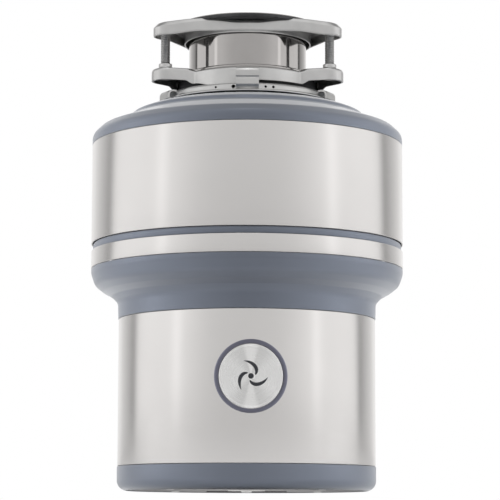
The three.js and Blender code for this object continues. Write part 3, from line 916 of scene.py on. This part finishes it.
def pressed_ring():
    """The upper mounting ring: a pressed cup with three ears, a raised hub and a skirt of changing depth."""
    steps = 540
    azimuths = [360 * i / steps for i in range(steps)]
    radii = smooth_ring([lobe_radius(a, 55.2, 10.0, 15.0) for a in azimuths], 3)
    wall = 1.9
    rows = []
    for azimuth, out in zip(azimuths, radii):
        ear = ramp(out, 56.0, 61.0)
        past_tab = -turn_between(azimuth, TABS)
        deep = ramp(past_tab, 4, 8) * (1 - ramp(past_tab, 26, 44))
        skirt = (290.6 - 3.0 * deep) * (1 - ear) + 293.0 * ear
        deck = 300.4 * (1 - ear) + 302.1 * ear
        line = rounded([
            (SLEEVE_R + 0.9, 298.5, 0.3), (SLEEVE_R + 0.9, 300.6, 0.7), (49.5, 300.5, 3),
            (min(out - 4.5, 53.5), deck - 0.9 * (1 - ear), 3), (out, deck, 3.4),
            (out, skirt, 0.5), (out - wall, skirt, 0.5), (out - wall, deck - 2.2, 2.0), (49.5, 298.4, 2),
        ], 0.5, 5)
        rows.append(swung(line, math.radians(azimuth)))
    return grid_object("upper_mounting_ring_pressing", rows, sharp=50)


def crosswise(name, line, cuts, azimuth, middle=(0, 0)):
    """A (radius, height) outline drawn out sideways; each cut is a place across and a shrink."""
    rows = [[(x + (middle[0] - x) * shrink, y, z + (middle[1] - z) * shrink) for x, z in line]
            for y, shrink in cuts]
    return spun(grid_object(name, rows, sharp=45, ring=False), azimuth)


def hook_tab(azimuth):
    """A tab bent out and down from the ring, with two rolled beads across it."""
    outer = [(52, 299.2), (60.0, 299.0, 2), (64.6, 297.4, 1.8), (65.9, 295.4, 1.4), (65.9, 291.4, 0.8),
             (65.1, 290.5, 0.5), (65.9, 289.6, 0.8), (66.2, 285.4, 1.6), (64.6, 283.2, 0.6)]
    inner = [(64.1, 283.2, 0.4), (64.1, 287, 1), (62.9, 293, 1.5), (60.6, 296.2, 2), (52, 296.6)]
    line = rounded(outer + inner, 0, 4)
    half, edge, shrink = 8.15, 0.4, 0.02
    cuts = ((-half, shrink), (-half + edge, 0.0), (half - edge, 0.0), (half, shrink))
    return crosswise("hook_tab", line, cuts, azimuth, (62, 291))


def rolled_lug(azimuth):
    """A flange lug bent over into an upside-down U, open below."""
    middle = [(60.4, 284.8), (61.8, 286.0), (65.4, 286.1)] + arc(65.6, 282.7, 3.3, 78, 0, 7) + [(68.9, 280.2)]
    outer, inner = [], []
    half_thickness = 0.65
    for i, here in enumerate(middle):
        before = Vector(middle[max(i - 1, 0)])
        after = Vector(middle[min(i + 1, len(middle) - 1)])
        along = (after - before).normalized()
        side = Vector((-along.y, along.x)) * half_thickness
        outer.append(tuple(Vector(here) + side))
        inner.append(tuple(Vector(here) - side))
    return crosswise("rolled_lug", outer + inner[::-1], [(y, 0) for y in (-6.5, -6.2, 6.2, 6.5)], azimuth)


def build_upper_ring():
    ring = pressed_ring()
    collars = []
    for azimuth in CORNERS:
        x, y = polar(SCREW_RADIUS, azimuth)
        collar = turned("collar", [(3.75, 300.3), (5.6, 300.3), (5.6, 302.6, 0.8), (4.85, 303.4, 0.8),
                                   (4.85, 306, 0.7), (3.75, 306)], 0.3, 48)
        collars.append(shift(collar, x, y))
    stands_for(merged(ring, *[hook_tab(a) for a in TABS], *collars), "upper_mounting_ring")


def build_lower_ring():
    """The lock ring: a stepped rim with a few small holes in its face, and three rolled lugs."""
    z0, z1 = 280.9, 287.0
    rim = turned("lower_mounting_ring_flange", [
        (52.6, 285.4), (59.8, 285.4, 1.5), (61.8, 283.4, 1.5), (62.4, z0 + 0.4), (66.2, 280.6, 0.5),
        (66.2, 281.6, 0.5), (64.4, 282.2, 1.2), (63.8, 286.0, 2), (61.6, z1, 1.8),
        (52.6, z1)], 0.4, corner_steps=4)
    holes = []
    for azimuth in TABS:
        for off, size in ((-8.9, 1.4), (-20.5, 0.8), (11.7, 0.9), (16.7, 1.0)):
            peg = shift(spun(pin_tool("peg_tool", size, 58, 72, 20), 90, "Y"), z=284.0)
            holes.append(spun(peg, azimuth + off))
    carve(rim, *holes)
    stands_for(merged(rim, *[rolled_lug(a) for a in CORNERS]), "lower_mounting_ring")


def build_cushion():
    cushion = turned("cushion_mount_rubber", [
        (49.9, 282.5), (51.3, 282.5), (51.5, 286, 1), (50.7, 287.2, 0.8), (51.5, 288.4, 1), (51.5, 297.8),
        (43.9, 297.8), (43.9, 287), (49.9, 286.9)], 0.5)
    stands_for(cushion, "cushion_mount")


def build_screws():
    for i, azimuth in enumerate(CORNERS):
        node = f"mounting_screw_{i + 1}"
        low, high = span(node)
        base = low.z + 1.5
        shank = threaded_rod("shank", 3.42, low.z + 3.4, high.z, 1.27)
        head = bar("head", 5.5, base, base + 3.0, 0.8)
        slot = slab_tool("slot_tool", slot_outline(6.5, 0.6), 280, base + 1.3)
        screw = merged(carve(head, slot), shank)
        screw.name = f"screw_{i + 1}_body"
        stands_for(shift(screw, *polar(SCREW_RADIUS, azimuth)), node, look=LOOKS["screw_steel"])


def build_snap_ring():
    """A wire ring round the sleeve, open at the back."""
    low, high = span("snap_ring")
    z = (low.z + high.z) / 2
    wire, steps, gap = 1.45, 160, 7.0
    section = [(SLEEVE_R + 0.35 + wire + x, z + y) for x, y in (polar(wire, 18 * k) for k in range(20))]
    rows = [swung(section, math.radians(90 + gap + (360 - 2 * gap) * i / steps)) for i in range(steps + 1)]
    stands_for(grid_object("snap_ring_wire", rows, sharp=60, ring=False), "snap_ring")


PLATE_CORNER, PLATE_SIDE = 9.0, 47.5


def plate_radius(azimuth):
    """Distance from the axis to the backup flange's outline: rounded corners, slightly bowed sides."""
    off = abs(turn_between(azimuth, CORNERS))
    a = math.radians(off)
    # The corner's arc ends where its normal points to the middle of the side.
    end = Vector(polar(SCREW_RADIUS, 0)) + Vector(polar(PLATE_CORNER, 60))
    middle = Vector(polar(PLATE_SIDE, 60))
    if off <= math.degrees(math.atan2(end.y, end.x)):
        return SCREW_RADIUS * math.cos(a) + math.sqrt(PLATE_CORNER ** 2 - (SCREW_RADIUS * math.sin(a)) ** 2)
    along = middle - end
    ray = Vector((math.cos(a), math.sin(a)))
    return (end.x * along.y - end.y * along.x) / (ray.x * along.y - ray.y * along.x)


def build_backup_flange():
    """The backup flange: a dished three-cornered pressing with a deep skirt and a raised collar below."""
    steps = 720
    azimuths = [360 * i / steps for i in range(steps)]
    radii = smooth_ring([plate_radius(a) for a in azimuths], 10)
    rows = []
    for azimuth, out in zip(azimuths, radii):
        off = 60 - abs(turn_between(azimuth, CORNERS))
        deck = 336.5 + 2.1 * ramp(off, 6, 30) - 1.5 * ramp(off, 44, 60)
        skirt = 328.4 - 2.4 * ramp(off, 38, 56)
        web = min(46.6, out - 1.4)
        bore = web - 0.9
        inner = max(out - 1.4, web + 0.4)
        shoulder = min(2.6 + 8.5 * ramp(off, 30, 60), (out - 44.8) * 0.8)
        drop = 0.55 + 0.25 * shoulder
        crown = max(out - shoulder - 0.3 - 5 * ramp(out, 50, 60), bore + 0.3)
        line = rounded([
            (bore, 327.5, 0.3), (web, 327.2, 0.3), (web, 331, 0.5), (web + 0.2, deck - 2.9, 0.4),
            (inner, deck - 3.4, 0.5), (inner, skirt, 0.3), (out - 0.3, skirt, 0.3), (out, skirt + 1, 0.5),
            (out, deck - drop - 1.6, 1.5), (out - shoulder * 0.3, deck - drop * 0.45, 2.2),
            (out - shoulder, deck, 2.0), (crown, min(deck, 336.6), 1), (bore, 335.4, 0.4),
        ], 0.5, 5)
        rows.append(swung(line, math.radians(azimuth)))
    stands_for(grid_object("backup_flange_pressing", rows, sharp=50), "backup_flange")
    radius, z0, z1 = reach("fiber_gasket")
    gasket = turned("fiber_gasket_ring", rectangle(SLEEVE_R + 0.6, z0, radius, z1), 0.8)
    stands_for(gasket, "fiber_gasket")


def build_sink_flange():
    radius, z0, z1 = reach("sink_flange")
    bore = 41.7
    flange = turned("sink_flange_pressing", [
        (38.5, z0 + 0.3), (41.0, z0, 0.8), (SLEEVE_R, z0 + 1.4, 1.6), (SLEEVE_R, z1 - 0.85, 0.6),
        (radius - 0.2, z1 - 0.85, 0.2), (radius, z1 - 0.4, 0.3), (radius - 0.4, z1, 0.3), (46, z1, 3.5),
        (bore, z1 - 4, 4), (bore, z0 + 2.6, 1.2), (38.5, z0 + 1.8)], 0.3, corner_steps=6)
    stands_for(flange, "sink_flange")


def build_baffle():
    radius, z0, z1 = reach("sink_baffle")
    body = turned("sink_baffle_rubber", [
        (radius - 2.2, z0), (radius - 0.1, z0), (radius - 0.1, z1, 1), (radius - 2.2, z1, 1),
        (radius - 2.2, 306, 3),
        (26, 303.6, 4), (14.2, 300.4, 0.6), (14.0, 298.2, 0.6), (26, 301.2, 4), (radius - 2.2, 302.6, 2)],
        0.4, corner_steps=4)
    slits = [spun(slab_tool("slit_tool", slot_outline(33, 0.45), 290, 309), 22.5 + 45 * i) for i in range(4)]
    stands_for(carve(body, *slits), "sink_baffle")


# ------------------------ carried-over CAD nodes
CAD_SHARP = 34                    # degrees between faces over which a CAD edge stays sharp


def soften_tree():
    """Geometry nodes that shade a faceted solid smooth but keep its real edges sharp."""
    tree = bpy.data.node_groups.new("soften", "GeometryNodeTree")
    tree.interface.new_socket("Geometry", in_out="INPUT", socket_type="NodeSocketGeometry")
    tree.interface.new_socket("Geometry", in_out="OUTPUT", socket_type="NodeSocketGeometry")
    g = Wiring(tree)
    faces = g.node("GeometryNodeSetShadeSmooth")
    faces.inputs["Shade Smooth"].default_value = True
    edges = g.node("GeometryNodeSetShadeSmooth", domain="EDGE")
    edges.inputs["Shade Smooth"].default_value = False
    sharp = g.node("FunctionNodeCompare", operation="GREATER_THAN")
    sharp.inputs[1].default_value = math.radians(CAD_SHARP)
    g.link(g.node("NodeGroupInput").outputs[0], faces.inputs["Geometry"])
    g.link(faces.outputs[0], edges.inputs["Geometry"])
    g.link(g.node("GeometryNodeInputMeshEdgeAngle").outputs["Unsigned Angle"], sharp.inputs[0])
    g.link(sharp.outputs[0], edges.inputs["Selection"])
    g.link(edges.outputs[0], g.node("NodeGroupOutput").inputs[0])
    return tree


def dress_cad():
    """Gives the CAD pieces that nothing replaced their finish, with welded, softened edges."""
    soften = soften_tree()
    for name, obj in frame["nodes"].items():
        if obj.hide_render:
            continue
        wear(obj, LOOKS[NODE_SLOT[name]])
        weld = obj.modifiers.new("weld", "WELD")
        weld.merge_threshold = 1e-6
        bevel(obj, "edges", 0.25, 2, 40)
        smooth = obj.modifiers.new("soften", "NODES")
        smooth.node_group = soften


# ------------------------ stage
CAMERA_POINT = Vector((2.15, -1572.7, -25.4)) * MM
CAMERA_PITCH = 7.27
CAMERA_ROLL = 0.15
LENS = 156.2


def build_camera():
    data = bpy.data.cameras.new("camera")
    data.lens = LENS
    data.sensor_width = 36
    data.clip_start, data.clip_end = 0.05, 50
    camera = new_object("camera", data)
    camera.location = CAMERA_POINT
    aim = Matrix.Rotation(math.radians(90 + CAMERA_PITCH), 4, "X")
    camera.rotation_euler = (aim @ Matrix.Rotation(math.radians(CAMERA_ROLL), 4, "Z")).to_euler()
    bpy.context.scene.camera = camera


# Brightness of the studio by azimuth from the front, as (share of a half turn, value at half strength).
WALLS = ((0.0, 0.325), (0.14, 0.338), (0.20, 0.365), (0.29, 0.43), (0.336, 0.44), (0.345, 0.64),
         (0.370, 0.64), (0.380, 0.46), (0.50, 0.485), (0.642, 0.50), (0.652, 0.06), (0.672, 0.08),
         (0.70, 0.24), (0.80, 0.38), (0.88, 0.50), (1.0, 0.54))
CEILING = ((0.0, 0.40), (0.24, 0.40), (0.34, 0.38), (0.50, 0.26), (0.70, 0.13), (1.0, 0.09))
WALL_TOP = (0.50, 0.66)           # share of straight up over which the walls blend into the ceiling
STUDIO_TINT = (1, 0.993, 0.988)
LAMP_AIM = Vector((0, 0, 0.17))


def build_world():
    """A studio with walls that are grey in front and bright at the sides; a camera sees plain white."""
    world = bpy.data.worlds.new("studio")
    bpy.context.scene.world = world
    world.use_nodes = True
    world.node_tree.nodes.clear()
    w = Wiring(world.node_tree)
    x, y, z = w.split(w.node("ShaderNodeTexCoord").outputs["Generated"])
    angle = w.compute("ARCTAN2", x, w.compute("MULTIPLY", y, -1))
    share = w.compute("DIVIDE", w.compute("ABSOLUTE", angle), math.pi)
    blend = w.node("ShaderNodeMix", data_type="RGBA")
    w.link(w.remap(z, *WALL_TOP), blend.inputs["Factor"])
    w.link(w.shaded(share, WALLS, STUDIO_TINT), blend.inputs[6])
    w.link(w.shaded(share, CEILING, STUDIO_TINT), blend.inputs[7])
    light = w.node("ShaderNodeBackground")
    light.inputs["Strength"].default_value = 2
    w.link(blend.outputs[2], light.inputs["Color"])
    plain = w.node("ShaderNodeBackground")
    plain.inputs["Color"].default_value = (1, 1, 1, 1)
    mix = w.node("ShaderNodeMixShader")
    w.link(w.node("ShaderNodeLightPath").outputs["Is Camera Ray"], mix.inputs["Fac"])
    w.link(light.outputs[0], mix.inputs[1])
    w.link(plain.outputs[0], mix.inputs[2])
    w.link(mix.outputs[0], w.node("ShaderNodeOutputWorld").inputs["Surface"])


def build_lamps():
    """Two low side lamps that metal doesn't mirror, and a weak one overhead."""
    for name, point, size, power, spread, mirrored in (
            ("left", (-1.3, -0.1, 0.28), 0.5, 3.2, 70, False),
            ("right", (1.3, -0.1, 0.28), 0.5, 3.2, 70, False),
            ("top", (0, -0.3, 1.7), 0.25, 0.6, 180, True)):
        data = bpy.data.lights.new(name, "AREA")
        data.size = size
        data.energy = power
        data.spread = math.radians(spread)
        lamp = new_object(name, data)
        lamp.location = point
        lamp.visible_glossy = mirrored
        aim = LAMP_AIM - Vector(point)
        lamp.rotation_euler = aim.to_track_quat("-Z", "Y").to_euler()


def build_floor():
    """A pale floor, clear from below.

    The base covers its open middle, which lets light from below reach the underside.
    """
    mesh = bpy.data.meshes.new("floor")
    inner, outer, count = 0.084, 6.0, 96
    angles = [2 * math.pi * i / count for i in range(count)]
    rims = [(r * math.cos(a), r * math.sin(a), 0) for r in (inner, outer) for a in angles]
    faces = [(i, i + count, (i + 1) % count + count, (i + 1) % count) for i in range(count)]
    mesh.from_pydata(rims, [], faces)
    floor = new_object("floor", mesh)
    floor.location.z = -0.0005
    s = Surface("pale_floor", (0.78, 0.78, 0.78), 0.6)
    mix = s.node("ShaderNodeMixShader")
    s.link(s.node("ShaderNodeNewGeometry").outputs["Backfacing"], mix.inputs["Fac"])
    s.link(s.shader.outputs[0], mix.inputs[1])
    s.link(s.node("ShaderNodeBsdfTransparent").outputs[0], mix.inputs[2])
    s.link(mix.outputs[0], s.tree.nodes["Material Output"].inputs["Surface"])
    floor.data.materials.append(s.material)


build_camera()
build_base()
build_base_fittings()
build_wraps()
build_waist()
build_dome()
build_inlet()
build_badge()
build_elbow()
build_outlet_flange()
build_outlet_bolts()
build_upper_ring()
build_lower_ring()
build_cushion()
build_screws()
build_snap_ring()
build_backup_flange()
build_sink_flange()
build_baffle()
dress_cad()
build_world()
build_lamps()
build_floor()
bpy.context.scene.view_settings.view_transform = "Standard"
